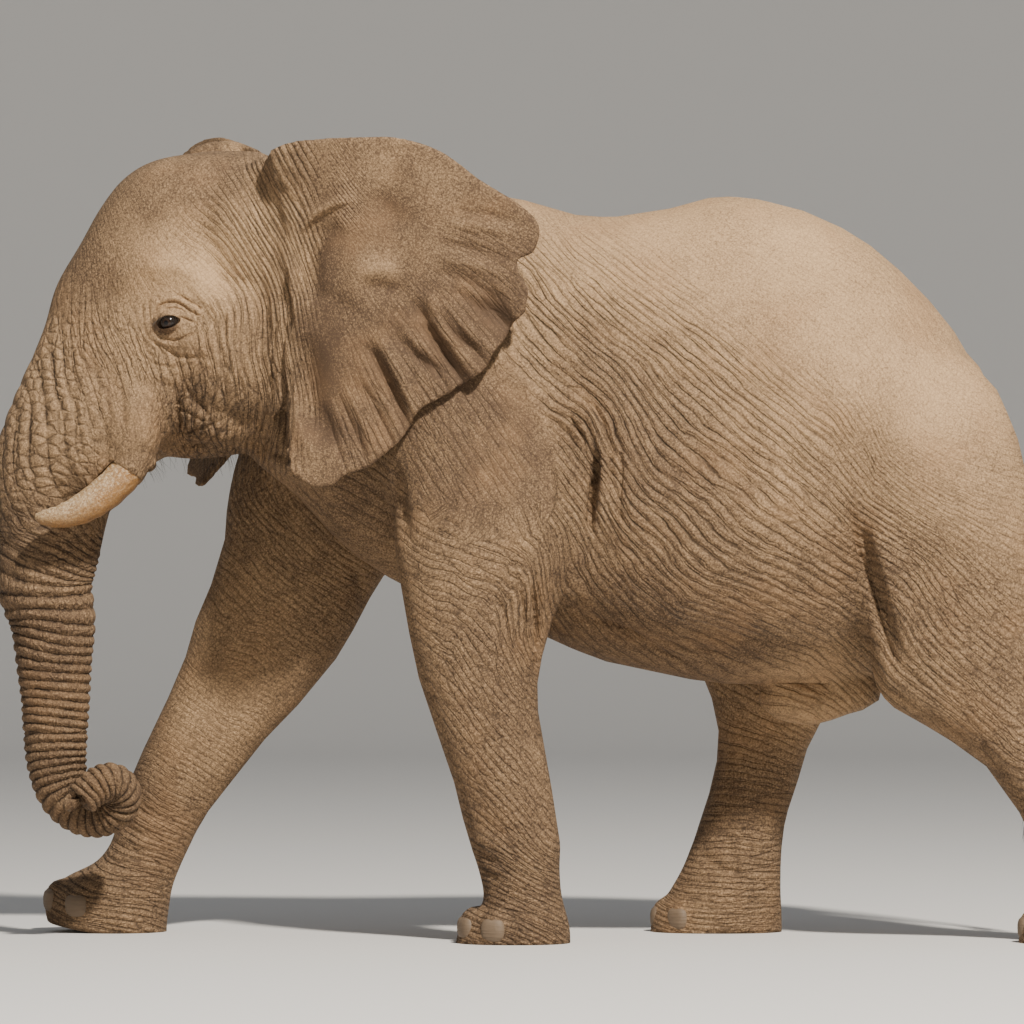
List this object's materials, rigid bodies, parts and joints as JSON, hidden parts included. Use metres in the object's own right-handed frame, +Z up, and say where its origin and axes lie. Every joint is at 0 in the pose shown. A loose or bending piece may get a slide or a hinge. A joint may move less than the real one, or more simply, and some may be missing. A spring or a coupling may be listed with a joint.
{
  "type": "african bush elephant",
  "caption": "Life-size still model of a bull elephant in mid stride, left ear folded back, right ear spread, trunk tip curled up; stands on flat soles.",
  "frame": {"origin": "middle of the animal's bounding box, on the floor plane under it", "axes": "+X towards the tail, so the head looks along -X; +Y towards the animal's right side; +Z up"},
  "size_m": [5.022, 2.1022, 3.6074],
  "materials": {
    "skin": "dusty, deeply wrinkled hide",
    "eye": "wet, glossy, dark brown",
    "tusk": "worn ivory, stained with earth"
  },
  "bodies": {
    "root": {"head": "skin", "neck": "skin", "chest": "skin", "rump": "skin", "tail": "skin", "trunk_upper": "skin", "trunk_middle": "skin", "trunk_lower": "skin", "trunk_tip": "skin", "leg_front_left": "skin", "leg_front_right": "skin", "leg_hind_left": "skin", "leg_hind_right": "skin", "ear_left": "skin", "ear_right": "skin", "eye_left": "eye", "eye_right": "eye", "tusk_left": "tusk", "tusk_right": "tusk"}
  },
  "joints": []
}
